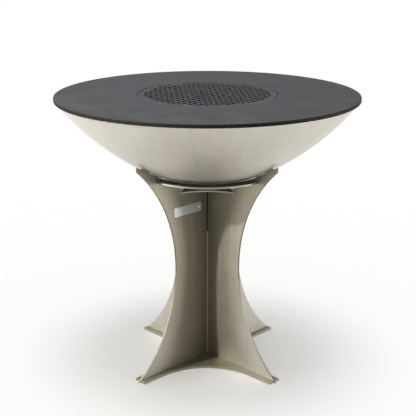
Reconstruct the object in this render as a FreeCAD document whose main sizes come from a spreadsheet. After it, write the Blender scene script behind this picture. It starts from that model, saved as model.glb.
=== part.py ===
import FreeCAD, Part
import math
import operator
import os
import types

import Sketcher

# Flat-top grill: a round cooktop with a lattice grate lies on a spun fire bowl, and the bowl stands on the
# arms of two hourglass panels that cross in half slots. A floor plate, a small star and a ring lock the
# panels square. Every piece is cut sheet or plate and drops into the one below it.
# Millimetres. The origin is on the ground under the crossing, +Z is up and the front looks towards -Y.

SIZES = {
    # Upright panels, measured from the crossing line and from the ground
    "sheet_thick": 6.0,
    "slot_gap": 0.6,
    "panel_turn": 45.0,
    "waist_radius": 150.5,
    "waist_height": 372.0,
    "side_arc": 476.0,
    "foot_radius": 326.0,
    "foot_inner": 236.0,
    "tip_radius": 316.0,
    "tip_round": 7.0,
    "arm_slope": 0.551,
    "shelf_radius": 192.8,
    "half_slot_height": 467.0,
    # Raised seats on the arms, on which the bowl stands
    "seat_inner": 266.0,
    "seat_outer": 293.0,
    "seat_flank": 4.0,
    "seat_gap": 0.3,
    # Cross-shaped plate on the ground
    "floor_thick": 8.0,
    "floor_half_width": 23.0,
    "floor_reach": 321.0,
    "floor_arc": 210.0,
    # Star plate on top of the crossing
    "star_height": 627.0,
    "star_thick": 5.0,
    "star_middle": 73.0,
    "star_tip": 136.0,
    "star_tip_half": 5.0,
    "star_step": 118.0,
    # Ring on the shelves of the arms
    "ring_height": 681.0,
    "ring_thick": 5.5,
    "ring_outer": 234.0,
    "ring_inner": 198.0,
    "ring_step": 222.0,
    # Bare name plate and its rivets
    "plate_inner": 34.0,
    "plate_outer": 158.0,
    "plate_low": 549.0,
    "plate_high": 581.0,
    "plate_thick": 1.5,
    "rivet_inset": 9.0,
    "rivet_radius": 2.0,
    "rivet_hole": 2.1,
    "rivet_head": 4.2,
    "rivet_crown": 2.4,
    "rivet_rise": 1.8,
    "rivet_tail": 3.0,
    # Fire bowl: a lower and an upper arc that run into each other
    "bowl_bottom": 649.0,
    "bowl_low_arc": 498.7,
    "bowl_turn": 247.8,
    "bowl_high_arc": 893.3,
    "bowl_wall": 3.0,
    "rim_height": 935.0,
    "rim_inner": 478.0,
    "drain_radius": 10.0,
    # Cooktop
    "top_radius": 508.0,
    "top_thick": 12.0,
    "top_bevel": 2.0,
    "opening_radius": 234.0,
    "opening_bevel": 1.0,
    # Lattice grate
    "grate_radius": 232.0,
    "grate_field": 211.0,
    "grate_thick": 11.0,
    "grate_pitch": 24.05,
    "grate_bar": 7.2,
    "grate_turn": 49.8,
    # Tabs under the opening, and fins that centre the cooktop on the rim
    "tab_inner": 214.0,
    "tab_outer": 256.0,
    "tab_half_width": 25.0,
    "tab_round": 10.0,
    "tab_thick": 5.0,
    "lug_inner": 446.0,
    "lug_outer": 476.0,
    "lug_drop": 30.0,
    "lug_lead": 12.0,
    "lug_thick": 6.0,
}
BARS_EACH_SIDE = 8
QUARTERS = 4
QUARTER_TURN = 90.0
OPERATIONS = {"+": operator.add, "-": operator.sub, "*": operator.mul, "/": operator.truediv}
START, END, CENTRE = 1, 2, 3
X_AXIS, Y_AXIS = -1, -2
LEFT, RIGHT = 1, -1


class Size:
    """A dimension as a number, and as the expression that ties a feature to the sheet."""

    def __init__(self, value, text):
        self.value = value
        self.text = text

    def __add__(self, other):
        return joined(self, "+", other)

    def __sub__(self, other):
        return joined(self, "-", other)

    def __rsub__(self, other):
        return joined(other, "-", self)

    def __mul__(self, other):
        return joined(self, "*", other)

    def __rmul__(self, other):
        return joined(other, "*", self)

    def __truediv__(self, other):
        return joined(self, "/", other)

    def __neg__(self):
        return joined(0, "-", self)


def as_size(number):
    if isinstance(number, Size):
        return number
    return Size(float(number), repr(float(number)))


def joined(left, sign, right):
    left = as_size(left)
    right = as_size(right)
    return Size(OPERATIONS[sign](left.value, right.value), f"({left.text} {sign} {right.text})")


def root(square):
    return Size(math.sqrt(square.value), f"sqrt({square.text})")


# The sheet and the dimensions read from it

doc = FreeCAD.newDocument("flat_top_grill")
sheet = doc.addObject("Spreadsheet::Sheet", "Sizes")
for row, (alias, number) in enumerate(SIZES.items(), start=1):
    sheet.set(f"A{row}", alias)
    sheet.set(f"B{row}", str(number))
    sheet.setAlias(f"B{row}", alias)
doc.recompute()
dim = types.SimpleNamespace(**{alias: Size(number, f"Sizes.{alias}") for alias, number in SIZES.items()})
slot_half = dim.sheet_thick / 2 + dim.slot_gap


# Sketches, bodies and features

def origin_feature(body, role):
    return next(feature for feature in body.Origin.OriginFeatures if feature.Role == role)


def new_body(label):
    body = doc.addObject("PartDesign::Body", label)
    body.Label = label
    body.AllowCompound = True
    return body


def new_sketch(body, name, role="XY_Plane", shift=None):
    """A sketch on one of the body's own planes, shifted along the sketch's axes where asked."""
    sketch = body.newObject("Sketcher::SketchObject", name)
    sketch.AttachmentSupport = [(origin_feature(body, role), "")]
    sketch.MapMode = "FlatFace"
    for axis, size in (shift or {}).items():
        sketch.setExpression(f"AttachmentOffset.Base.{axis}", size.text)
    return sketch


def bind(sketch, kind, target, size):
    """Add a dimension to a sketch and tie it to the sheet."""
    index = sketch.addConstraint(Sketcher.Constraint(kind, *target, size.value))
    sketch.setExpression(f"Constraints[{index}]", size.text)


def place_point(sketch, target, x, y):
    """Fix a point at x and y, on an axis where the value is nought."""
    for kind, size, axis in (("DistanceX", as_size(x), Y_AXIS), ("DistanceY", as_size(y), X_AXIS)):
        if size.value == 0:
            sketch.addConstraint(Sketcher.Constraint("PointOnObject", *target, axis))
        else:
            bind(sketch, kind, target, size)


def arc_between(start, end, radius, side):
    """The shorter arc from start to end, with its centre to the left or right of the way along it."""
    chord = end - start
    reach = math.sqrt(radius ** 2 - (chord.Length / 2) ** 2)
    across = FreeCAD.Vector(-chord.y, chord.x, 0).normalize() * side
    centre = (start + end) / 2 + across * reach
    first, last = (start, end) if side == LEFT else (end, start)
    angles = [math.atan2(point.y - centre.y, point.x - centre.x) for point in (first, last)]
    circle = Part.Circle(centre, FreeCAD.Vector(0, 0, 1), radius)
    return Part.ArcOfCircle(circle, angles[0], angles[1])


def draw_outline(sketch, steps):
    """A closed outline. A step is a corner and, where the edge after it is round, its radius and side."""
    corners = [FreeCAD.Vector(as_size(step[0]).value, as_size(step[1]).value, 0) for step in steps]
    ends = []
    for step, start, end in zip(steps, corners, corners[1:] + corners[:1]):
        if len(step) == 2:
            edge = sketch.addGeometry(Part.LineSegment(start, end), False)
            ends.append((edge, START, END))
        else:
            radius, side = step[2:]
            edge = sketch.addGeometry(arc_between(start, end, radius.value, side), False)
            ends.append((edge, START, END) if side == LEFT else (edge, END, START))
            bind(sketch, "Radius", (edge,), radius)
    for before, after in zip(ends, ends[1:] + ends[:1]):
        sketch.addConstraint(Sketcher.Constraint("Coincident", before[0], before[2], after[0], after[1]))
    for step, (edge, first, last) in zip(steps, ends):
        place_point(sketch, (edge, first), step[0], step[1])


def draw_circle(sketch, x, y, radius):
    centre = FreeCAD.Vector(as_size(x).value, as_size(y).value, 0)
    edge = sketch.addGeometry(Part.Circle(centre, FreeCAD.Vector(0, 0, 1), radius.value), False)
    place_point(sketch, (edge, CENTRE), x, y)
    bind(sketch, "Radius", (edge,), radius)


def draw_box(sketch, low_x, low_y, high_x, high_y):
    draw_outline(sketch, [(low_x, low_y), (high_x, low_y), (high_x, high_y), (low_x, high_y)])


def quarter_turned(steps):
    """The steps of one quarter, repeated round the origin."""
    turned = []
    for quarter in range(QUARTERS):
        turned.extend(steps)
        steps = [(-step[1], step[0], *step[2:]) for step in steps]
    return turned


def pad(body, sketch, length, symmetric=False):
    feature = body.newObject("PartDesign::Pad", f"{sketch.Name}_pad")
    feature.Profile = sketch
    feature.setExpression("Length", length.text)
    if symmetric:
        feature.SideType = "Symmetric"
    doc.recompute()
    return feature


def pocket(body, sketch):
    """Cut the sketch right through the body, both ways, and see that it cuts."""
    before = body.Shape.Volume
    feature = body.newObject("PartDesign::Pocket", f"{sketch.Name}_pocket")
    feature.Profile = sketch
    feature.Type = "ThroughAll"
    feature.SideType = "Symmetric"
    doc.recompute()
    if feature.Shape.Volume >= before:
        raise RuntimeError(f"{feature.Name} cuts nothing")
    return feature


def revolve(body, sketch):
    feature = body.newObject("PartDesign::Revolution", f"{sketch.Name}_turn")
    feature.Profile = sketch
    feature.ReferenceAxis = (sketch, ["V_Axis"])
    feature.Angle = 360.0
    doc.recompute()
    return feature


def repeat(body, feature, axis, count, length):
    pattern = body.newObject("PartDesign::LinearPattern", f"{feature.Name}_row")
    pattern.Originals = [feature]
    pattern.Direction = (origin_feature(body, axis), [""])
    pattern.Occurrences = count
    pattern.setExpression("Length", length.text)
    body.Tip = pattern
    doc.recompute()
    return pattern


def dress(body, kind, name, base, edges, field, size):
    """A fillet or chamfer on named edges of a feature."""
    feature = body.newObject(f"PartDesign::{kind}", name)
    feature.Base = (base, edges)
    feature.setExpression(field, size.text)
    doc.recompute()
    return feature


def place(body, turn=None, height=None):
    """Turn a piece about the upright axis and lift it to its height."""
    if turn is not None:
        about_z = FreeCAD.Rotation(FreeCAD.Vector(0, 0, 1), turn.value)
        body.Placement = FreeCAD.Placement(FreeCAD.Vector(), about_z)
        body.setExpression("Placement.Rotation.Angle", turn.text)
    if height is not None:
        body.setExpression("Placement.Base.z", height.text)


# Outer face of the bowl, as heights and radii on its two arcs

low_centre_z = dim.bowl_bottom + dim.bowl_low_arc
turn_sine = dim.bowl_turn / dim.bowl_low_arc
turn_cosine = root(1 - turn_sine * turn_sine)
arc_growth = dim.bowl_high_arc - dim.bowl_low_arc
high_centre_r = -(arc_growth * turn_sine)
high_centre_z = low_centre_z + arc_growth * turn_cosine


def low_height(radius, inset):
    arc = dim.bowl_low_arc - inset
    return low_centre_z - root(arc * arc - radius * radius)


def high_height(radius, inset):
    arc = dim.bowl_high_arc - inset
    across = radius - high_centre_r
    return high_centre_z - root(arc * arc - across * across)


def high_radius(height, inset):
    arc = dim.bowl_high_arc - inset
    rise = high_centre_z - height
    return high_centre_r + root(arc * arc - rise * rise)


def turn_point(inset):
    arc = dim.bowl_low_arc - inset
    return arc * turn_sine, low_centre_z - arc * turn_cosine


# Upright panels

def side_height(radius, way):
    """Height at which the hollow side of a panel passes a radius, below or above the waist."""
    across = dim.waist_radius + dim.side_arc - radius
    rise = root(dim.side_arc * dim.side_arc - across * across)
    return dim.waist_height + rise * way


def arm_height(radius):
    return dim.ring_height + dim.arm_slope * (radius - dim.shelf_radius)


def panel_outline():
    seat_arc = dim.bowl_high_arc + dim.seat_gap
    seat_out = dim.seat_outer + dim.seat_flank
    seat_in = dim.seat_inner - dim.seat_flank
    return [
        (0, dim.floor_thick),
        (dim.foot_inner, dim.floor_thick),
        (dim.foot_inner, 0),
        (dim.foot_radius, 0),
        (dim.foot_radius, side_height(dim.foot_radius, -1), dim.side_arc, RIGHT),
        (dim.waist_radius, dim.waist_height, dim.side_arc, RIGHT),
        (dim.tip_radius, side_height(dim.tip_radius, 1)),
        (dim.tip_radius, arm_height(dim.tip_radius)),
        (seat_out, arm_height(seat_out)),
        (dim.seat_outer, high_height(dim.seat_outer, -dim.seat_gap), seat_arc, RIGHT),
        (dim.seat_inner, high_height(dim.seat_inner, -dim.seat_gap)),
        (seat_in, arm_height(seat_in)),
        (dim.ring_step, arm_height(dim.ring_step)),
        (dim.ring_step, dim.ring_height),
        (dim.shelf_radius, dim.ring_height),
        (dim.star_step, arm_height(dim.star_step)),
        (dim.star_step, dim.star_height),
        (0, dim.star_height),
    ]


def tip_edges(feature):
    """Names of the lower edges of the two arm tips."""
    height = side_height(dim.tip_radius, 1).value
    names = []
    for number, edge in enumerate(feature.Shape.Edges, start=1):
        middle = edge.CenterOfMass
        if math.isclose(abs(middle.x), dim.tip_radius.value) and math.isclose(middle.z, height):
            names.append(f"Edge{number}")
    return names


def make_panel(label, turn, slot_low, slot_high):
    body = new_body(label)
    outline = new_sketch(body, f"{label}_outline", "XZ_Plane")
    draw_outline(outline, panel_outline())
    half = pad(body, outline, dim.sheet_thick, symmetric=True)
    whole = body.newObject("PartDesign::Mirrored", f"{label}_whole")
    whole.Originals = [half]
    whole.MirrorPlane = (origin_feature(body, "YZ_Plane"), [""])
    body.Tip = whole
    doc.recompute()
    tips = tip_edges(whole)
    dress(body, "Fillet", f"{label}_tips", whole, tips, "Radius", dim.tip_round)
    slot = new_sketch(body, f"{label}_slot", "XZ_Plane")
    draw_box(slot, -slot_half, slot_low, slot_half, slot_high)
    pocket(body, slot)
    place(body, turn)
    return body


def rivet_places():
    """Distances out from the crossing, and the height, at which the rivets pass through."""
    middle = (dim.plate_low + dim.plate_high) / 2
    return [(-dim.plate_inner - dim.rivet_inset, middle), (dim.rivet_inset - dim.plate_outer, middle)]


def drill_rivet_holes(body):
    holes = new_sketch(body, f"{body.Label}_rivet_holes", "XZ_Plane")
    for x, y in rivet_places():
        draw_circle(holes, x, y, dim.rivet_hole)
    pocket(body, holes)


panel_a = make_panel("panel_a", dim.panel_turn, dim.half_slot_height, dim.ring_height)
drill_rivet_holes(panel_a)
panel_b = make_panel("panel_b", -dim.panel_turn, 0, dim.half_slot_height)


# Plates that lock the panels square

def make_plate(label, steps, thickness, height=None, hole=None):
    body = new_body(label)
    outline = new_sketch(body, f"{label}_outline")
    draw_outline(outline, steps)
    if hole is not None:
        draw_circle(outline, 0, 0, hole)
    pad(body, outline, thickness)
    place(body, dim.panel_turn, height)
    return body


def floor_outline():
    slot_end = dim.foot_inner - dim.slot_gap
    tangent = dim.floor_half_width + dim.floor_arc
    return quarter_turned([
        (dim.floor_reach, -dim.floor_half_width),
        (dim.floor_reach, -slot_half),
        (slot_end, -slot_half),
        (slot_end, slot_half),
        (dim.floor_reach, slot_half),
        (dim.floor_reach, dim.floor_half_width),
        (tangent, dim.floor_half_width, dim.floor_arc, RIGHT),
        (dim.floor_half_width, tangent),
    ])


def star_outline():
    notch_end = dim.star_step - dim.slot_gap
    sag = (dim.star_tip + dim.star_tip_half) / math.sqrt(2) - dim.star_middle
    lateral = (dim.star_tip - dim.star_tip_half) / math.sqrt(2)
    side_arc = (lateral * lateral + sag * sag) / (2 * sag)
    return quarter_turned([
        (dim.star_tip, -dim.star_tip_half),
        (dim.star_tip, -slot_half),
        (notch_end, -slot_half),
        (notch_end, slot_half),
        (dim.star_tip, slot_half),
        (dim.star_tip, dim.star_tip_half, side_arc, RIGHT),
    ])


def ring_outline():
    notch_end = dim.ring_step - dim.slot_gap
    notch_mouth = root(dim.ring_outer * dim.ring_outer - slot_half * slot_half)
    return quarter_turned([
        (notch_mouth, -slot_half),
        (notch_end, -slot_half),
        (notch_end, slot_half),
        (notch_mouth, slot_half, dim.ring_outer, LEFT),
    ])


floor_plate = make_plate("floor_plate", floor_outline(), dim.floor_thick)
lock_star = make_plate("lock_star", star_outline(), dim.star_thick, dim.star_height)
cradle_ring = make_plate("cradle_ring", ring_outline(), dim.ring_thick, dim.ring_height, dim.ring_inner)


# Name plate and rivets on the front of the left panel

def make_name_plate():
    body = new_body("name_plate")
    outline = new_sketch(body, "name_plate_outline", "XZ_Plane", {"z": dim.sheet_thick / 2})
    draw_box(outline, -dim.plate_outer, dim.plate_low, -dim.plate_inner, dim.plate_high)
    for x, y in rivet_places():
        draw_circle(outline, x, y, dim.rivet_hole)
    pad(body, outline, dim.plate_thick)
    place(body, dim.panel_turn)
    return body


def make_rivets():
    """Tapered head on the plate's face, shank through plate and panel, flattened tail behind."""
    body = new_body("name_plate_rivets")
    inner, outer = rivet_places()
    outline = new_sketch(body, "rivet_outline", "XY_Plane", {"x": outer[0], "z": outer[1]})
    face = -(dim.sheet_thick / 2 + dim.plate_thick)
    back = dim.sheet_thick / 2
    draw_outline(outline, [
        (0, face - dim.rivet_rise),
        (dim.rivet_crown, face - dim.rivet_rise),
        (dim.rivet_head, face),
        (dim.rivet_radius, face),
        (dim.rivet_radius, back),
        (dim.rivet_tail, back),
        (dim.rivet_tail, back + dim.rivet_rise),
        (0, back + dim.rivet_rise),
    ])
    repeat(body, revolve(body, outline), "X_Axis", 2, inner[0] - outer[0])
    place(body, dim.panel_turn)
    return body


name_plate = make_name_plate()
name_plate_rivets = make_rivets()


# Fire bowl: a spun shell with a turned-in rim and a drain hole

def bowl_outline():
    wall = dim.bowl_wall
    low_inner = dim.bowl_low_arc - wall
    high_inner = dim.bowl_high_arc - wall
    under_rim = dim.rim_height - wall
    return [
        (dim.drain_radius, low_height(dim.drain_radius, 0), dim.bowl_low_arc, LEFT),
        (*turn_point(0), dim.bowl_high_arc, LEFT),
        (high_radius(dim.rim_height, 0), dim.rim_height),
        (dim.rim_inner, dim.rim_height),
        (dim.rim_inner, under_rim),
        (high_radius(under_rim, wall), under_rim, high_inner, RIGHT),
        (*turn_point(wall), low_inner, RIGHT),
        (dim.drain_radius, low_height(dim.drain_radius, wall)),
    ]


fire_bowl = new_body("fire_bowl")
bowl_sketch = new_sketch(fire_bowl, "bowl_outline", "XZ_Plane")
draw_outline(bowl_sketch, bowl_outline())
revolve(fire_bowl, bowl_sketch)


# Cooktop with its tabs and fins

def round_edges(feature, radius):
    """Names of the full circles of one radius."""
    names = []
    for number, edge in enumerate(feature.Shape.Edges, start=1):
        if isinstance(edge.Curve, Part.Circle) and math.isclose(edge.Curve.Radius, radius.value):
            names.append(f"Edge{number}")
    return names


def make_cooktop():
    body = new_body("cooktop")
    outline = new_sketch(body, "cooktop_outline")
    draw_circle(outline, 0, 0, dim.top_radius)
    draw_circle(outline, 0, 0, dim.opening_radius)
    plate = pad(body, outline, dim.top_thick)
    rim_edges = round_edges(plate, dim.top_radius)
    rim = dress(body, "Chamfer", "cooktop_rim", plate, rim_edges, "Size", dim.top_bevel)
    mouth_edges = round_edges(rim, dim.opening_radius)
    dress(body, "Chamfer", "cooktop_mouth", rim, mouth_edges, "Size", dim.opening_bevel)
    place(body, height=dim.rim_height)
    return body


def make_tab(number):
    body = new_body(f"grate_tab_{number}")
    outline = new_sketch(body, f"tab_{number}_outline")
    inner = dim.tab_inner
    half = dim.tab_half_width
    rounded = dim.tab_round
    draw_outline(outline, [
        (inner + rounded, -half),
        (dim.tab_outer, -half),
        (dim.tab_outer, half),
        (inner + rounded, half, rounded, LEFT),
        (inner, half - rounded),
        (inner, rounded - half, rounded, LEFT),
    ])
    pad(body, outline, dim.tab_thick)
    return body


def make_lug(number):
    body = new_body(f"locating_lug_{number}")
    outline = new_sketch(body, f"lug_{number}_outline", "XZ_Plane")
    draw_outline(outline, [
        (dim.lug_inner, 0),
        (dim.lug_inner, -dim.lug_drop),
        (dim.lug_outer - dim.lug_lead, -dim.lug_drop),
        (dim.lug_outer, dim.lug_lead - dim.lug_drop),
        (dim.lug_outer, 0),
    ])
    pad(body, outline, dim.lug_thick, symmetric=True)
    return body


cooktop = make_cooktop()
tabs = []
lugs = []
for quarter in range(QUARTERS):
    bearing = as_size(QUARTER_TURN * quarter)
    tab = make_tab(quarter + 1)
    place(tab, bearing, dim.rim_height - dim.tab_thick)
    tabs.append(tab)
    lug = make_lug(quarter + 1)
    place(lug, bearing, dim.rim_height)
    lugs.append(lug)


# Lattice grate: a margin ring with two crossing rows of bars, trimmed round

def make_grate():
    body = new_body("grill_grate")
    ring = new_sketch(body, "grate_ring")
    draw_circle(ring, 0, 0, dim.grate_radius)
    draw_circle(ring, 0, 0, dim.grate_field)
    pad(body, ring, dim.grate_thick)
    spread = dim.grate_pitch * BARS_EACH_SIDE
    half_bar = dim.grate_bar / 2
    reach = (dim.grate_radius + dim.grate_field) / 2
    along = new_sketch(body, "grate_bars_along")
    draw_box(along, -reach, -spread - half_bar, reach, half_bar - spread)
    repeat(body, pad(body, along, dim.grate_thick), "Y_Axis", 2 * BARS_EACH_SIDE + 1, spread * 2)
    across = new_sketch(body, "grate_bars_across")
    draw_box(across, -spread - half_bar, -reach, half_bar - spread, reach)
    repeat(body, pad(body, across, dim.grate_thick), "X_Axis", 2 * BARS_EACH_SIDE + 1, spread * 2)
    trim = new_sketch(body, "grate_trim")
    draw_circle(trim, 0, 0, dim.grate_radius)
    draw_circle(trim, 0, 0, dim.grate_radius * 2)
    pocket(body, trim)
    place(body, dim.grate_turn, dim.rim_height)
    return body


grill_grate = make_grate()


# Check every object, then write each piece

doc.recompute()
pieces = [panel_a, panel_b, floor_plate, lock_star, cradle_ring, name_plate, name_plate_rivets]
pieces += [fire_bowl, cooktop, *tabs, *lugs, grill_grate]
failed = [item.Name for item in doc.Objects if {"Invalid", "Error"} & set(item.State)]
failed += [piece.Label for piece in pieces if piece.Shape.isNull() or not piece.Shape.isValid()]
if failed:
    raise RuntimeError(f"not built: {failed}")
os.makedirs("parts", exist_ok=True)
for piece in pieces:
    piece.Shape.exportStep(f"parts/{piece.Label}.step")
    print(piece.Label, len(piece.Shape.Solids), "solids", round(piece.Shape.Volume / 1000, 1), "cm3")
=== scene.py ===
import contextlib
import math
from types import SimpleNamespace

import bpy
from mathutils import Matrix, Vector


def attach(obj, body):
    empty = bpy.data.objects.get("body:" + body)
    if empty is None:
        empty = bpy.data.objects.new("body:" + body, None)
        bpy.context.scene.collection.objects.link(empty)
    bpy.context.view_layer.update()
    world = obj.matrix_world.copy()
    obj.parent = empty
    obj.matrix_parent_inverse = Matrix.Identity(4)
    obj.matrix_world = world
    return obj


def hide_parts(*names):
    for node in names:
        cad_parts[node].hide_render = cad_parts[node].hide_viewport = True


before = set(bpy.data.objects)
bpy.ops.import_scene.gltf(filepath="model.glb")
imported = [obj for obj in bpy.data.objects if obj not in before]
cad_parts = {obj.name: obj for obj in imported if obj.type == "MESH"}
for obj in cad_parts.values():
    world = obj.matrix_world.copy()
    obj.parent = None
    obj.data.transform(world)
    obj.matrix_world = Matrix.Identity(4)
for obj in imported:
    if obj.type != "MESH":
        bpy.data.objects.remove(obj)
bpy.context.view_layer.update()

# Flat-top grill: bare steel stand and bowl, dark oiled cooktop and grate. Metres, in the solids' frame.

MM = 0.001
UP = Vector((0, 0, 1))
QUARTER_TURN = math.radians(90)
EIGHTH_TURN = math.radians(45)

# Panels: a runs from front left to back right, b crosses it, and their half slots meet at one height
ALONG_A = Vector((math.cos(EIGHTH_TURN), math.sin(EIGHTH_TURN), 0))
FACE_A = Vector((math.sin(EIGHTH_TURN), -math.cos(EIGHTH_TURN), 0))
FACE_B = Vector((math.sin(EIGHTH_TURN), math.cos(EIGHTH_TURN), 0))
SLOT_END = 467 * MM

# Cradle ring: the inner radius of its solid, and the radius that it is drawn in to
RING_INNER = 198 * MM
RING_DRAWN_IN = 192 * MM

# Rivets: places along panel a, the faces that they clamp, from the panel's middle plane, and sizes
RIVET_DISTANCES = (-43 * MM, -149 * MM)
RIVET_HEIGHT = 565 * MM
PLATE_FACE = 4.5 * MM
PANEL_BACK = 3 * MM
HEAD_RADIUS = 4.2 * MM
HEAD_RISE = 1.8 * MM
HEAD_TURNS = (1.15, 0.9, 0.6, 0.3, 0.0)
SHANK_RADIUS = 2 * MM
RIVET_STEPS = 32

# Fire bowl: a low and a high arc that meet at the turn radius, and a turned-in rim
BOWL_BOTTOM = 649 * MM
LOW_ARC = 498.7 * MM
HIGH_ARC = 893.3 * MM
TURN_RADIUS = 247.8 * MM
BOWL_WALL = 3 * MM
RIM_HEIGHT = 935 * MM
RIM_INNER = 478 * MM
DRAIN_RADIUS = 10 * MM
LOW_STEPS = 14
HIGH_STEPS = 24

# Cooktop, which lies on the bowl's rim
TOP_RADIUS = 508 * MM
OPENING_RADIUS = 234 * MM
TOP_THICK = 12 * MM
TOP_HEIGHT = RIM_HEIGHT + TOP_THICK

# Widths of broken and rounded edges
SHEET_EDGE = 0.5 * MM
NAME_PLATE_EDGE = 0.3 * MM
WELDED_EDGE = 0.6 * MM
GRATE_EDGE = 0.5 * MM
RIM_ROUND = 2.2 * MM
LIP_ROUND = 0.8 * MM
COOKTOP_ROUND = 2 * MM
OPENING_ROUND = 1 * MM

# Working of the meshes
SPIN_STEPS = 192
MERGE = 0.002 * MM
ON_CIRCLE = 0.02 * MM
FLAT = math.radians(0.4)
SHARP = math.radians(30)
POINTS = (True, False, False)
EDGES = (False, True, False)


# Nodes of a finish

class Field:
    """A value over a surface. Reckoning with it adds Math nodes to its finish."""

    def __init__(self, finish, socket):
        self.finish = finish
        self.socket = socket

    def __add__(self, other):
        return self.finish.maths("ADD", self, other)

    def __radd__(self, other):
        return self.finish.maths("ADD", other, self)

    def __sub__(self, other):
        return self.finish.maths("SUBTRACT", self, other)

    def __rsub__(self, other):
        return self.finish.maths("SUBTRACT", other, self)

    def __mul__(self, other):
        return self.finish.maths("MULTIPLY", self, other)

    def __rmul__(self, other):
        return self.finish.maths("MULTIPLY", other, self)

    def __truediv__(self, other):
        return self.finish.maths("DIVIDE", self, other)

    def __rtruediv__(self, other):
        return self.finish.maths("DIVIDE", other, self)


class Finish:
    """The nodes of a material or of the room, added one at a time."""

    # Keeps the radius above nought on the axis itself
    NEVER_NOUGHT = 1e-8

    def __init__(self, holder):
        holder.use_nodes = True
        self.holder = holder
        self.tree = holder.node_tree

    def feed(self, socket, value):
        """Link a varying value to a socket, or set a plain one on it."""
        if isinstance(value, Field):
            self.tree.links.new(value.socket, socket)
        else:
            socket.default_value = value

    def node(self, kind, output, settings=None, inputs=None):
        """Add a node, make its settings, then feed its sockets."""
        made = self.tree.nodes.new(kind)
        for name, value in (settings or {}).items():
            setattr(made, name, value)
        for key, value in (inputs or {}).items():
            self.feed(made.inputs[key], value)
        return Field(self, made.outputs[output])

    def shade(self, sockets):
        """Feed the shader of the surface, and hand back the finished material."""
        shader = self.tree.nodes["Principled BSDF"]
        for name, value in sockets.items():
            self.feed(shader.inputs[name], value)
        return self.holder

    def maths(self, operation, *values):
        return self.node("ShaderNodeMath", 0, {"operation": operation}, dict(enumerate(values)))

    def mix(self, share, first, second):
        """The first colour where the share is nought, and the second where it is one."""
        return self.node("ShaderNodeMix", 2, {"data_type": "RGBA"}, {0: share, 6: first, 7: second})

    def band(self, value, low, high):
        """Nought below the low value and one above the high one, with a soft passage between."""
        settings = {"interpolation_type": "SMOOTHSTEP"}
        return self.node("ShaderNodeMapRange", 0, settings, {0: value, 1: low, 2: high})

    def bump(self, height, depth, strength=0.5):
        inputs = {"Strength": strength, "Distance": depth, "Height": height}
        return self.node("ShaderNodeBump", 0, None, inputs)

    def place(self):
        return self.node("ShaderNodeTexCoord", "Object")

    def upright(self):
        """Radius, cosine and sine of the bearing, and height, about the upright axis."""
        place = self.place()
        x, y, z = (self.node("ShaderNodeSeparateXYZ", axis, None, {0: place}) for axis in "XYZ")
        radius = self.maths("SQRT", x * x + y * y + self.NEVER_NOUGHT)
        return SimpleNamespace(radius=radius, cosine=x / radius, sine=y / radius, height=z)

    def noise(self, place, detail=3.0, roughness=0.6):
        inputs = {"Vector": place, "Scale": 1.0, "Detail": detail, "Roughness": roughness}
        return self.node("ShaderNodeTexNoise", 0, None, inputs)

    def streaks(self, size, turn=0.0, **pattern):
        """A noise of the given size along each axis, with the axes turned about the upright one."""
        inputs = {"Vector": self.place(), "Rotation": (0, 0, turn), "Scale": size}
        laid = self.node("ShaderNodeMapping", 0, {"vector_type": "TEXTURE"}, inputs)
        return self.noise(laid, **pattern)

    def cloud(self, size, **pattern):
        """A noise of the same size in every direction."""
        return self.streaks((size, size, size), **pattern)

    def round_noise(self, spot, fineness, across, **pattern):
        """A noise that goes round with the bearing, as fine as asked, and changes across it with a value."""
        inputs = {0: spot.cosine * fineness, 1: spot.sine * fineness, 2: across}
        return self.noise(self.node("ShaderNodeCombineXYZ", 0, None, inputs), **pattern)


def new_finish(name):
    return Finish(bpy.data.materials.new(name))


def vary(middle, *patterns):
    """A value that each pattern moves to both sides of its middle, by the share given with the pattern."""
    value = middle
    for pattern, share in patterns:
        value = value + (pattern - 0.5) * share
    return value


def colour(red, green, blue):
    return (red, green, blue, 1.0)


# Finishes of the stand

# Colours of painted light on the panels: a pale one for a painted floor reflection at the feet, a dark one
# for painted shade and shadow, and a light one for a painted highlight in the seam
FOOT_REFLECTION = colour(0.43, 0.405, 0.362)
SEAM_HIGHLIGHT = colour(0.50, 0.475, 0.41)
PAINTED_SHADE = colour(0.045, 0.039, 0.03)
FOOT_HEIGHTS = (100 * MM, 400 * MM)
FOOT_RADII = (60 * MM, 240 * MM)
CORNER_RADII = (0.0, 80 * MM)
SEAM_RADII = (5.5 * MM, 7.5 * MM)
SEAM_HEIGHTS = (SLOT_END - MM, SLOT_END + MM)
LOW_HIGHLIGHT_HEIGHTS = (240 * MM, 380 * MM)


def panel_painted_light(finish, steel):
    """Painted light over a panel's steel: feet made paler by a painted reflection of the floor, painted
    shade in the corner where the panels cross, and in the seam a painted shadow above the slots' end and a
    painted highlight below it.
    """
    spot = finish.upright()
    # Painted reflection of the floor: paler towards the feet
    foot = (1 - finish.band(spot.height, *FOOT_HEIGHTS)) * finish.band(spot.radius, *FOOT_RADII)
    # Painted shade: darker towards the corner where the panels cross
    corner = 1 - finish.band(spot.radius, *CORNER_RADII)
    # Painted shadow in the seam above the slots' end, and a painted highlight in it below
    crossing = 1 - finish.band(spot.radius, *SEAM_RADII)
    seam = finish.mix(finish.band(spot.height, *SEAM_HEIGHTS), SEAM_HIGHLIGHT, PAINTED_SHADE)
    pale = finish.mix(foot * 0.7, steel, FOOT_REFLECTION)
    wear_and_shade = finish.mix(corner * 0.25, pale, PAINTED_SHADE)
    return finish.mix(crossing * 0.9, wear_and_shade, seam)


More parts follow.
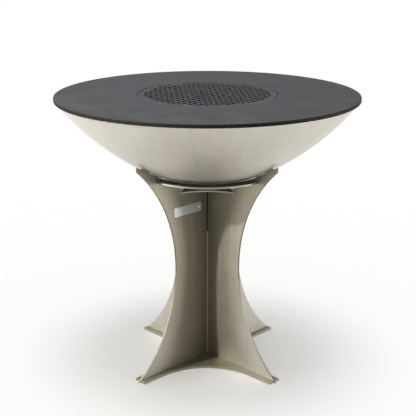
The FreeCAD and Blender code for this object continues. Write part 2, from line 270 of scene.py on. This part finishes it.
def sheet_steel(name, turn, grain, dark, light, light_and_shade=None):
    """Satin sheet steel: streaks along its grain, cloudy patches and flecks, and painted light and shade
    where it is given.
    """
    finish = new_finish(name)
    fine = finish.streaks(tuple(2.2 * MM * share for share in grain), turn, detail=2.0)
    broad = finish.streaks(tuple(14 * MM * share for share in grain), turn, roughness=0.55)
    cloud = finish.cloud(70 * MM, detail=4.0)
    fleck = finish.cloud(7 * MM, detail=2.0)
    tone = vary(0.5, (fine, 0.7), (broad, 0.6), (cloud, 0.6), (fleck, 1.1))
    steel = finish.mix(tone, dark, light)
    return finish.shade({
        "Base Color": light_and_shade(finish, steel) if light_and_shade else steel,
        "Metallic": 1.0,
        "Roughness": vary(0.54, (fine, 0.14), (cloud, 0.08)),
        "Normal": finish.bump(fine * 0.7 + broad * 0.3, 0.05 * MM, strength=0.6),
    })


def cut_edge(name, dark, light, low_highlight=None):
    """Edge of a cut sheet with the fine marks of the cutting, and a painted highlight towards the feet where
    asked.
    """
    finish = new_finish(name)
    marks = finish.streaks((1.6 * MM, 1.6 * MM, 5 * MM), detail=2.0)
    cloud = finish.cloud(40 * MM, roughness=0.5)
    steel = finish.mix(vary(0.5, (marks, 0.8), (cloud, 0.7)), dark, light)
    if low_highlight:
        # Painted highlight: the edge is lighter below the given heights
        steel = finish.mix(finish.band(finish.upright().height, *LOW_HIGHLIGHT_HEIGHTS), low_highlight, steel)
    return finish.shade({
        "Base Color": steel,
        "Metallic": 1.0,
        "Roughness": vary(0.56, (marks, 0.2)),
        "Normal": finish.bump(marks, 0.06 * MM, strength=0.7),
    })


def plate_metal(name):
    """Name plate: light sheet brushed along its length."""
    finish = new_finish(name)
    grain = finish.streaks((26 * MM, 0.8 * MM, 0.8 * MM), EIGHTH_TURN)
    cloud = finish.cloud(25 * MM, roughness=0.5)
    tone = vary(0.5, (grain, 0.9), (cloud, 0.5))
    return finish.shade({
        "Base Color": finish.mix(tone, colour(0.45, 0.457, 0.452), colour(0.63, 0.635, 0.625)),
        "Metallic": 0.8,
        "Roughness": vary(0.36, (grain, 0.2)),
        "Normal": finish.bump(grain, 0.03 * MM),
    })


def rivet_metal(name):
    """Rivets: light satin metal, faintly dented."""
    finish = new_finish(name)
    dents = finish.cloud(1.5 * MM, detail=2.0, roughness=0.5)
    return finish.shade({
        "Base Color": finish.mix(dents, colour(0.68, 0.68, 0.672), colour(0.86, 0.86, 0.85)),
        "Metallic": 0.85,
        "Roughness": vary(0.26, (dents, 0.2)),
        "Normal": finish.bump(dents, 0.04 * MM),
    })


# Finishes of the fire bowl

BOWL_DARK = colour(0.54, 0.511, 0.442)
BOWL_LIGHT = colour(0.667, 0.638, 0.57)
# Colour and radii of painted shade on the bottom of the bowl's outside
BOWL_BOTTOM_SHADE = colour(0.07, 0.058, 0.045)
BOTTOM_SHADE_RADII = (120 * MM, 190 * MM)
SOOT = colour(0.018, 0.016, 0.015)
BROWN_UNDER_SOOT = colour(0.075, 0.058, 0.045)
ASH = colour(0.30, 0.29, 0.275)
ASH_HEIGHTS = (670 * MM, 790 * MM)
ASH_PATCHES = (0.42, 0.66)
SOOT_PATCHES = (0.38, 0.62)


def spun_steel(name):
    """Outside of the bowl: brushed from rim to bottom, with faint rings of spinning and painted shade on its
    bottom.
    """
    finish = new_finish(name)
    spot = finish.upright()
    streaks = finish.round_noise(spot, 110, spot.height * 5, roughness=0.65)
    bands = finish.round_noise(spot, 26, spot.height * 2, detail=2.0, roughness=0.5)
    rings = finish.round_noise(spot, 1.5, spot.radius * 160, detail=2.0, roughness=0.5)
    cloud = finish.cloud(120 * MM, detail=4.0)
    fleck = finish.cloud(7 * MM, detail=2.0)
    tone = vary(0.5, (streaks, 0.7), (bands, 0.5), (rings, 0.18), (cloud, 0.6), (fleck, 1.1))
    clean = finish.mix(tone, BOWL_DARK, BOWL_LIGHT)
    # Painted shade: darker towards the bottom, where the bowl sits in the cradle ring
    bottom_shade = 1 - finish.band(vary(spot.radius, (cloud, 20 * MM)), *BOTTOM_SHADE_RADII)
    return finish.shade({
        "Base Color": finish.mix(bottom_shade * 0.9, clean, BOWL_BOTTOM_SHADE),
        "Metallic": 1.0,
        "Roughness": vary(0.475, (streaks, 0.14), (cloud, 0.12)),
        "Normal": finish.bump(streaks * 0.6 + rings * 0.4, 0.05 * MM),
    })


def sooty_steel(name):
    """Inside of the bowl: soot over steel turned brown by heat, with pale ash towards the bottom."""
    finish = new_finish(name)
    soot = finish.cloud(45 * MM, detail=5.0, roughness=0.62)
    speck = finish.cloud(6 * MM)
    low_down = 1 - finish.band(finish.upright().height, *ASH_HEIGHTS)
    ash = finish.band(vary(soot, (speck, 0.5)), *ASH_PATCHES) * low_down
    sooty = finish.mix(finish.band(soot, *SOOT_PATCHES), SOOT, BROWN_UNDER_SOOT)
    return finish.shade({
        "Base Color": finish.mix(ash * 0.75, sooty, ASH),
        "Metallic": 0.15,
        "Roughness": vary(0.78, (soot, 0.25)),
        "Normal": finish.bump(soot * 0.6 + speck * 0.4, 0.3 * MM),
    })


# Finishes of the cooktop and the grate

OIL_DARK = colour(0.011, 0.0108, 0.0108)
OIL_LIGHT = colour(0.042, 0.043, 0.045)
HEAT_BLUE = colour(0.024, 0.028, 0.035)
HEAT_RADII = (240 * MM, 360 * MM)
BURNT_DARK = colour(0.006, 0.0058, 0.0058)
BURNT_LIGHT = colour(0.026, 0.026, 0.0275)
WORN_BARS = colour(0.055, 0.056, 0.058)
WORN_HEIGHTS = (944.5 * MM, 945.9 * MM)
WORN_PATCHES = (0.4, 0.65)


def oiled_steel(name):
    """Top of the cooktop: oil burnt on in patches, wiped round in arcs, bluer by the hot opening."""
    finish = new_finish(name)
    spot = finish.upright()
    patch = finish.cloud(75 * MM, detail=5.0)
    grit = finish.cloud(2.5 * MM)
    wiped = finish.round_noise(spot, 2.5, spot.radius * 170)
    heat = 1 - finish.band(spot.radius, *HEAT_RADII)
    oiled = finish.mix(vary(0.5, (patch, 1.6), (wiped, 0.6), (grit, 0.5)), OIL_DARK, OIL_LIGHT)
    return finish.shade({
        "Base Color": finish.mix(heat * 0.6, oiled, HEAT_BLUE),
        "Metallic": 0.3,
        "Specular IOR Level": 0.15,
        "Roughness": vary(0.70, (patch, 0.4), (wiped, 0.2)),
        "Normal": finish.bump(grit * 0.5 + wiped * 0.5, 0.08 * MM),
    })


def oiled_edge(name):
    """Edge and underside of the cooktop, its tabs and fins: browned steel under a film of old oil."""
    finish = new_finish(name)
    patch = finish.cloud(30 * MM, detail=5.0)
    runs = finish.streaks((3 * MM, 3 * MM, 18 * MM))
    tone = vary(0.5, (patch, 1.1), (runs, 0.6))
    return finish.shade({
        "Base Color": finish.mix(tone, colour(0.004, 0.0036, 0.0032), colour(0.015, 0.012, 0.0095)),
        "Metallic": 0.1,
        "Specular IOR Level": 0.06,
        "Roughness": vary(0.6, (patch, 0.25)),
        "Normal": finish.bump(patch * 0.5 + runs * 0.5, 0.12 * MM),
    })


def grate_steel(name):
    """Lattice of the grate: burnt dark, with its tops scuffed paler."""
    finish = new_finish(name)
    patch = finish.cloud(28 * MM, detail=5.0)
    grit = finish.cloud(2 * MM)
    bar_top = finish.band(finish.upright().height, *WORN_HEIGHTS)
    wear_and_shade = bar_top * finish.band(patch, *WORN_PATCHES)
    burnt = finish.mix(patch, BURNT_DARK, BURNT_LIGHT)
    return finish.shade({
        "Base Color": finish.mix(wear_and_shade * 0.6, burnt, WORN_BARS),
        "Metallic": 0.3,
        "Specular IOR Level": 0.13,
        "Roughness": vary(0.6, (patch, 0.35)),
        "Normal": finish.bump(grit * 0.6 + patch * 0.4, 0.1 * MM),
    })


def grate_soot(name):
    """Walls of the grate's holes and its underside: soot over burnt steel."""
    finish = new_finish(name)
    patch = finish.cloud(9 * MM, detail=4.0)
    return finish.shade({
        "Base Color": finish.mix(patch, colour(0.0025, 0.0024, 0.0023), colour(0.011, 0.0095, 0.0085)),
        "Specular IOR Level": 0.05,
        "Roughness": vary(0.8, (patch, 0.2)),
        "Normal": finish.bump(patch, 0.2 * MM),
    })


# Ways of working a mesh

def add_object(name, data):
    made = bpy.data.objects.new(name, data)
    bpy.context.scene.collection.objects.link(made)
    return made


def select_only(piece):
    bpy.ops.object.select_all(action="DESELECT")
    piece.select_set(True)
    bpy.context.view_layer.objects.active = piece


@contextlib.contextmanager
def edit_mode(piece):
    select_only(piece)
    bpy.ops.object.mode_set(mode="EDIT")
    yield
    bpy.ops.object.mode_set(mode="OBJECT")


def clear_choice(piece, kind):
    """Leave nothing of the mesh selected, so that points or edges can be picked by their place."""
    bpy.context.tool_settings.mesh_select_mode = kind
    with edit_mode(piece):
        bpy.ops.mesh.select_all(action="DESELECT")


def at_circle(radius, height):
    """A test for points on one circle about the upright axis."""
    return lambda point: (
        math.isclose(point.xy.length, radius, abs_tol=ON_CIRCLE)
        and math.isclose(point.z, height, abs_tol=ON_CIRCLE)
    )


def bevel_edges(piece, wanted, width, segments):
    """Round the edges whose two ends are wanted."""
    mesh = piece.data
    clear_choice(piece, EDGES)
    for edge in mesh.edges:
        edge.select = all(wanted(mesh.vertices[end].co) for end in edge.vertices)
    with edit_mode(piece):
        bpy.ops.mesh.bevel(offset=width, segments=segments, affect="EDGES", clamp_overlap=True)


def draw_in(piece, radius, new_radius):
    """Bring the points on the piece's inner circle closer to the upright axis."""
    clear_choice(piece, POINTS)
    for point in piece.data.vertices:
        point.select = point.co.xy.length < radius + MM
    share = new_radius / radius
    with edit_mode(piece):
        bpy.ops.transform.resize(value=(share, share, 1), center_override=(0, 0, 0))


def modify(piece, kind, **settings):
    """Add a modifier and apply it."""
    select_only(piece)
    bpy.ops.object.modifier_add(type=kind)
    modifier = piece.modifiers[-1]
    for name, value in settings.items():
        setattr(modifier, name, value)
    bpy.ops.object.modifier_apply(modifier=modifier.name)


def smooth(piece):
    """Shade the piece round where it bends softly, and keep its flat faces flat."""
    select_only(piece)
    bpy.ops.object.shade_smooth_by_angle(angle=SHARP)
    modify(piece, "WEIGHTED_NORMAL", keep_sharp=True, weight=60)


def break_edges(piece, width):
    modify(piece, "BEVEL", width=width, segments=2, limit_method="ANGLE", angle_limit=SHARP)
    smooth(piece)


def merged_copy(node, name):
    """A copy of a solid, with the seams and splits of its flat faces taken out."""
    piece = add_object(name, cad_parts[node].data.copy())
    with edit_mode(piece):
        bpy.ops.mesh.select_all(action="SELECT")
        bpy.ops.mesh.remove_doubles(threshold=MERGE)
        bpy.ops.mesh.dissolve_limited(angle_limit=FLAT)
    return piece


def broken_copy(node, name, width):
    piece = merged_copy(node, name)
    break_edges(piece, width)
    return piece


def turned(name, profile, steps):
    """A closed profile of radii and heights, spun about the upright axis."""
    bpy.ops.object.select_all(action="DESELECT")
    bpy.ops.mesh.primitive_plane_add(size=MM)
    piece = bpy.context.active_object
    piece.name = name
    piece.data.name = name
    bpy.context.tool_settings.mesh_select_mode = POINTS
    with edit_mode(piece):
        bpy.ops.mesh.merge(type="CENTER")
        bpy.ops.transform.translate(value=(profile[0][0], 0, profile[0][1]))
        for (radius, height), (next_radius, next_height) in zip(profile, profile[1:] + profile[:1]):
            step = (next_radius - radius, 0, next_height - height)
            bpy.ops.mesh.extrude_vertices_move(TRANSFORM_OT_translate={"value": step})
        bpy.ops.mesh.select_all(action="SELECT")
        bpy.ops.mesh.remove_doubles(threshold=MERGE)
        bpy.ops.mesh.spin(steps=steps, angle=math.tau, center=(0, 0, 0), axis=UP)
        bpy.ops.mesh.select_all(action="SELECT")
        bpy.ops.mesh.remove_doubles(threshold=MERGE)
        bpy.ops.mesh.normals_make_consistent(inside=False)
    return piece


def paint(piece, finishes, choice):
    """Give each face the finish that the choice picks from its normal and its middle."""
    piece.data.materials.clear()
    for finish in finishes:
        piece.data.materials.append(finish)
    for face in piece.data.polygons:
        face.material_index = choice(face.normal, face.center)


def all_over(normal, middle):
    """The choice of a piece with one finish."""
    return 0


def fit(piece, body, node):
    """Let the piece ride on a body and stand for a solid."""
    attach(piece, body)
    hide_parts(node)


# Stand

PANEL_DARK = colour(0.203, 0.187, 0.142)
PANEL_LIGHT = colour(0.297, 0.274, 0.209)
LEVEL_DARK = colour(0.17, 0.156, 0.118)
LEVEL_LIGHT = colour(0.235, 0.217, 0.166)
STAR_PALER_SHADE = colour(0.085, 0.077, 0.061)
UPRIGHT_GRAIN = (1, 1, 28)
LEVEL_GRAIN = (24, 1, 1)
FACE_COSINE = 0.9

# Panels a and b carry a painted floor reflection, painted shade, a painted shadow and a painted highlight
# over their steel
steel_a = sheet_steel("stand_steel_a", EIGHTH_TURN, UPRIGHT_GRAIN, PANEL_DARK, PANEL_LIGHT, panel_painted_light)
steel_b = sheet_steel("stand_steel_b", -EIGHTH_TURN, UPRIGHT_GRAIN, PANEL_DARK, PANEL_LIGHT, panel_painted_light)
level_steel = sheet_steel("stand_steel_flat", EIGHTH_TURN, LEVEL_GRAIN, LEVEL_DARK, LEVEL_LIGHT)
# The lock star is painted dark all over: painted shade for the shade it lies in under the cradle ring and
# the bowl
star_steel = sheet_steel("stand_steel_star", EIGHTH_TURN, LEVEL_GRAIN, PAINTED_SHADE, STAR_PALER_SHADE)
# The panels' cut edges get a painted highlight towards the feet
dull_edge = cut_edge(
    "stand_dull_edge",
    dark=colour(0.065, 0.06, 0.046),
    light=colour(0.11, 0.101, 0.077),
    low_highlight=colour(0.165, 0.154, 0.124),
)
floor_edge = cut_edge("stand_floor_edge", dark=colour(0.20, 0.185, 0.142), light=colour(0.31, 0.288, 0.222))
clean_edge = cut_edge("stand_clean_edge", dark=colour(0.26, 0.244, 0.206), light=colour(0.38, 0.362, 0.314))


def edge_of_sheet(across):
    """The choice of a sheet's edge finish, for faces that don't look across the sheet."""
    return lambda normal, middle: int(abs(normal.dot(across)) < FACE_COSINE)


for node, finish, edge_finish, across in (
    ("panel_a", steel_a, dull_edge, FACE_A),
    ("panel_b", steel_b, dull_edge, FACE_B),
    ("floor_plate", level_steel, floor_edge, UP),
    ("lock_star", star_steel, clean_edge, UP),
    ("cradle_ring", level_steel, clean_edge, UP),
):
    sheet = merged_copy(node, f"{node}_sheet")
    if node == "cradle_ring":
        draw_in(sheet, RING_INNER, RING_DRAWN_IN)
    break_edges(sheet, SHEET_EDGE)
    paint(sheet, (finish, edge_finish), edge_of_sheet(across))
    fit(sheet, "stand", node)


# Name plate and its rivets

name_plate = broken_copy("name_plate", "name_plate_bare", NAME_PLATE_EDGE)
paint(name_plate, (plate_metal("name_plate_metal"),), all_over)
fit(name_plate, "stand", "name_plate")


def rivet_profile():
    """Blind rivet from the tip of its head to its tail: domed head with a dimple, shank and set tail."""
    dimple = [(0.0, 0.9 * MM), (0.9 * MM, 1.0 * MM), (1.25 * MM, 1.62 * MM)]
    head = [(HEAD_RADIUS * math.cos(turn), HEAD_RISE * math.sin(turn)) for turn in HEAD_TURNS]
    tail_face = -(PLATE_FACE + PANEL_BACK)
    shank = [(SHANK_RADIUS, 0.0), (SHANK_RADIUS, tail_face)]
    bulge = [(3.0 * MM, 0.0), (2.7 * MM, 1.3 * MM), (1.8 * MM, 1.8 * MM), (0.0, 1.8 * MM)]
    tail = [(radius, tail_face - depth) for radius, depth in bulge]
    return dimple + head + shank + tail


def set_rivet(name, distance):
    """A rivet that looks out of panel a, in its place. With no window, rotate turns the other way."""
    piece = turned(name, rivet_profile(), RIVET_STEPS)
    spot = ALONG_A * distance + FACE_A * PLATE_FACE + UP * RIVET_HEIGHT
    with edit_mode(piece):
        bpy.ops.mesh.select_all(action="SELECT")
        bpy.ops.transform.rotate(value=-QUARTER_TURN, orient_axis="X", center_override=(0, 0, 0))
        bpy.ops.transform.rotate(value=-EIGHTH_TURN, orient_axis="Z", center_override=(0, 0, 0))
        bpy.ops.transform.translate(value=spot)
    smooth(piece)
    return piece


rivet_finish = rivet_metal("rivet_metal")
for number, distance in enumerate(RIVET_DISTANCES, start=1):
    rivet = set_rivet(f"name_plate_rivet_{number}", distance)
    paint(rivet, (rivet_finish,), all_over)
    fit(rivet, "stand", "name_plate_rivets")


# Fire bowl

def arc(centre, radius, start, end, steps):
    """Points on an arc about a centre, from one turn to another, where a turn of nought is straight down."""
    turns = [start + (end - start) * step / steps for step in range(steps + 1)]
    return [(centre[0] + radius * math.sin(turn), centre[1] - radius * math.cos(turn)) for turn in turns]


def bowl_face(inset, top):
    """One face of the bowl's wall, from the drain hole up to the given height."""
    low_arc = LOW_ARC - inset
    high_arc = HIGH_ARC - inset
    bend = math.asin(TURN_RADIUS / LOW_ARC)
    low_centre = (0.0, BOWL_BOTTOM + LOW_ARC)
    high_centre = (
        (LOW_ARC - HIGH_ARC) * math.sin(bend),
        low_centre[1] + (HIGH_ARC - LOW_ARC) * math.cos(bend),
    )
    start = math.asin(DRAIN_RADIUS / low_arc)
    end = math.acos((high_centre[1] - top) / high_arc)
    low = arc(low_centre, low_arc, start, bend, LOW_STEPS)
    high = arc(high_centre, high_arc, bend, end, HIGH_STEPS)
    return low[:-1] + high


def bowl_profile():
    """Outer face from the drain hole to the rim, the turned-in rim, and the inner face back down."""
    under_rim = RIM_HEIGHT - BOWL_WALL
    lip = [(RIM_INNER, RIM_HEIGHT), (RIM_INNER, under_rim)]
    return bowl_face(0, RIM_HEIGHT) + lip + bowl_face(BOWL_WALL, under_rim)[::-1]


def inside_bowl(normal, middle):
    """The choice of the sooty finish, for the inner face and the underside of the lip."""
    inner_face = normal.z > 0 and middle.z < RIM_HEIGHT - 0.5 * BOWL_WALL
    under_lip = normal.z < -FACE_COSINE and middle.z > RIM_HEIGHT - 1.1 * BOWL_WALL
    return int(inner_face or under_lip)


profile = bowl_profile()
rim_outer = max(radius for radius, height in profile)
bowl = turned("fire_bowl_spun", profile, SPIN_STEPS)
bevel_edges(bowl, at_circle(rim_outer, RIM_HEIGHT), RIM_ROUND, segments=4)
for height in (RIM_HEIGHT, RIM_HEIGHT - BOWL_WALL):
    bevel_edges(bowl, at_circle(RIM_INNER, height), LIP_ROUND, segments=2)
smooth(bowl)
paint(bowl, (spun_steel("bowl_steel_outside"), sooty_steel("bowl_steel_inside")), inside_bowl)
fit(bowl, "bowl", "fire_bowl")


# Cooktop, with the tabs and fins welded under it

TOP_FACE_RISE = 0.6


def side_of_cooktop(normal, middle):
    """The choice of the edge finish, for all but the top face."""
    return int(normal.z < TOP_FACE_RISE)


section = [
    (OPENING_RADIUS, RIM_HEIGHT),
    (TOP_RADIUS, RIM_HEIGHT),
    (TOP_RADIUS, TOP_HEIGHT),
    (OPENING_RADIUS, TOP_HEIGHT),
]
cooktop = turned("cooktop_plate", section, SPIN_STEPS)
for height in (TOP_HEIGHT, RIM_HEIGHT):
    bevel_edges(cooktop, at_circle(TOP_RADIUS, height), COOKTOP_ROUND, segments=4)
for height in (TOP_HEIGHT, RIM_HEIGHT):
    bevel_edges(cooktop, at_circle(OPENING_RADIUS, height), OPENING_ROUND, segments=3)
smooth(cooktop)
oiled_top = oiled_steel("cooktop_steel_top")
oiled_side = oiled_edge("cooktop_steel_edge")
paint(cooktop, (oiled_top, oiled_side), side_of_cooktop)
fit(cooktop, "top", "cooktop")

for number in (1, 2, 3, 4):
    for node in (f"grate_tab_{number}", f"locating_lug_{number}"):
        welded = broken_copy(node, f"{node}_welded", WELDED_EDGE)
        paint(welded, (oiled_side,), all_over)
        fit(welded, "top", node)


# Grate

BAR_TOP_RISE = 0.3


def sooty_side(normal, middle):
    """The choice of soot, for the walls of the holes and the underside."""
    return int(normal.z < BAR_TOP_RISE)


grate = broken_copy("grill_grate", "grill_grate_lattice", GRATE_EDGE)
paint(grate, (grate_steel("grate_steel"), grate_soot("grate_soot")), sooty_side)
fit(grate, "grate", "grill_grate")


# Camera, fitted to the photograph

CAMERA_DISTANCE = 3.1117
CAMERA_HEIGHT = 1.4871
CAMERA_SHIFT = 2 * MM
CAMERA_TURN = math.radians(0.2)
CAMERA_TILT = math.radians(90 - 16.778)
LENS_MM = 81.52
SENSOR_MM = 36

camera = add_object("camera", bpy.data.cameras.new("camera"))
camera.location = (
    CAMERA_DISTANCE * math.sin(CAMERA_TURN) + CAMERA_SHIFT,
    -CAMERA_DISTANCE * math.cos(CAMERA_TURN),
    CAMERA_HEIGHT,
)
camera.rotation_euler = (CAMERA_TILT, 0, CAMERA_TURN)
camera.data.lens = LENS_MM
camera.data.sensor_width = SENSOR_MM
bpy.context.scene.camera = camera
bpy.context.scene.view_settings.view_transform = "Standard"


# Lamps

LAMP_DISTANCE = 4.0
LAMP_AIM = UP * 0.5


def hang_lamp(name, way, size, energy):
    """A round lamp that hangs in the given direction from the grill and shines back at it."""
    lamp = add_object(name, bpy.data.lights.new(name, "AREA"))
    lamp.location = way.normalized() * LAMP_DISTANCE + LAMP_AIM
    lamp.rotation_euler = way.to_track_quat("Z", "Y").to_euler()
    lamp.data.shape = "DISK"
    lamp.data.size = size
    lamp.data.energy = energy
    return lamp


lamps = [
    hang_lamp("key_lamp", Vector((-0.688, -0.3815, 0.56)), size=0.2, energy=420),
    hang_lamp("left_lamp", Vector((-0.94, -0.16, 0.0)), size=1.2, energy=54),
    hang_lamp("right_lamp", Vector((0.96, -0.08, 0.0)), size=1.4, energy=112),
]


# White room: its light and the ceiling's add up to a strength of one on the open floor

WHITE = colour(1, 1, 1)
ROOM_LIGHT = 0.74
CEILING_WIDTH = math.radians(22)
CEILING_TILT = math.radians(2)


def seen_rays(finish):
    """One for rays that show the surroundings: straight to the camera, mirrored or let through."""
    kinds = ("Is Camera Ray", "Is Glossy Ray", "Is Transmission Ray")
    straight, mirrored, through = (finish.node("ShaderNodeLightPath", kind) for kind in kinds)
    return finish.maths("MAXIMUM", finish.maths("MAXIMUM", straight, mirrored), through)


room = Finish(bpy.data.worlds.new("white_room"))
bpy.context.scene.world = room.holder
background = room.tree.nodes["Background"]
room.feed(background.inputs["Color"], WHITE)
room.feed(background.inputs["Strength"], ROOM_LIGHT + seen_rays(room) * (1 - ROOM_LIGHT))

ceiling = add_object("ceiling_light", bpy.data.lights.new("ceiling_light", "SUN"))
ceiling.data.energy = (1 - ROOM_LIGHT) * math.pi
ceiling.data.angle = CEILING_WIDTH
ceiling.rotation_euler = (CEILING_TILT, 0, 0)


# Floor

FLOOR_SIZE = 80
FLOOR_TONE = 0.92
FLOOR_GLOW = 0.08

bpy.ops.object.select_all(action="DESELECT")
bpy.ops.mesh.primitive_plane_add(size=FLOOR_SIZE)
floor = bpy.context.active_object
floor.name = "floor"
ground = new_finish("floor_white")
matt = ground.node("ShaderNodeBsdfDiffuse", 0, None, {"Color": colour(FLOOR_TONE, FLOOR_TONE, FLOOR_TONE)})
glow = ground.node("ShaderNodeEmission", 0, None, {"Strength": seen_rays(ground) * FLOOR_GLOW})
both = ground.node("ShaderNodeAddShader", 0, None, {0: matt, 1: glow})
ground.feed(ground.tree.nodes["Material Output"].inputs["Surface"], both)
floor.data.materials.append(ground.holder)

# The lamps light the grill alone, and the floor keeps the soft shadow of the white room
unlit = bpy.data.collections.new("not_lit_by_lamps")
unlit.objects.link(floor)
unlit.collection_objects[0].light_linking.link_state = "EXCLUDE"
for lamp in lamps:
    lamp.light_linking.receiver_collection = unlit
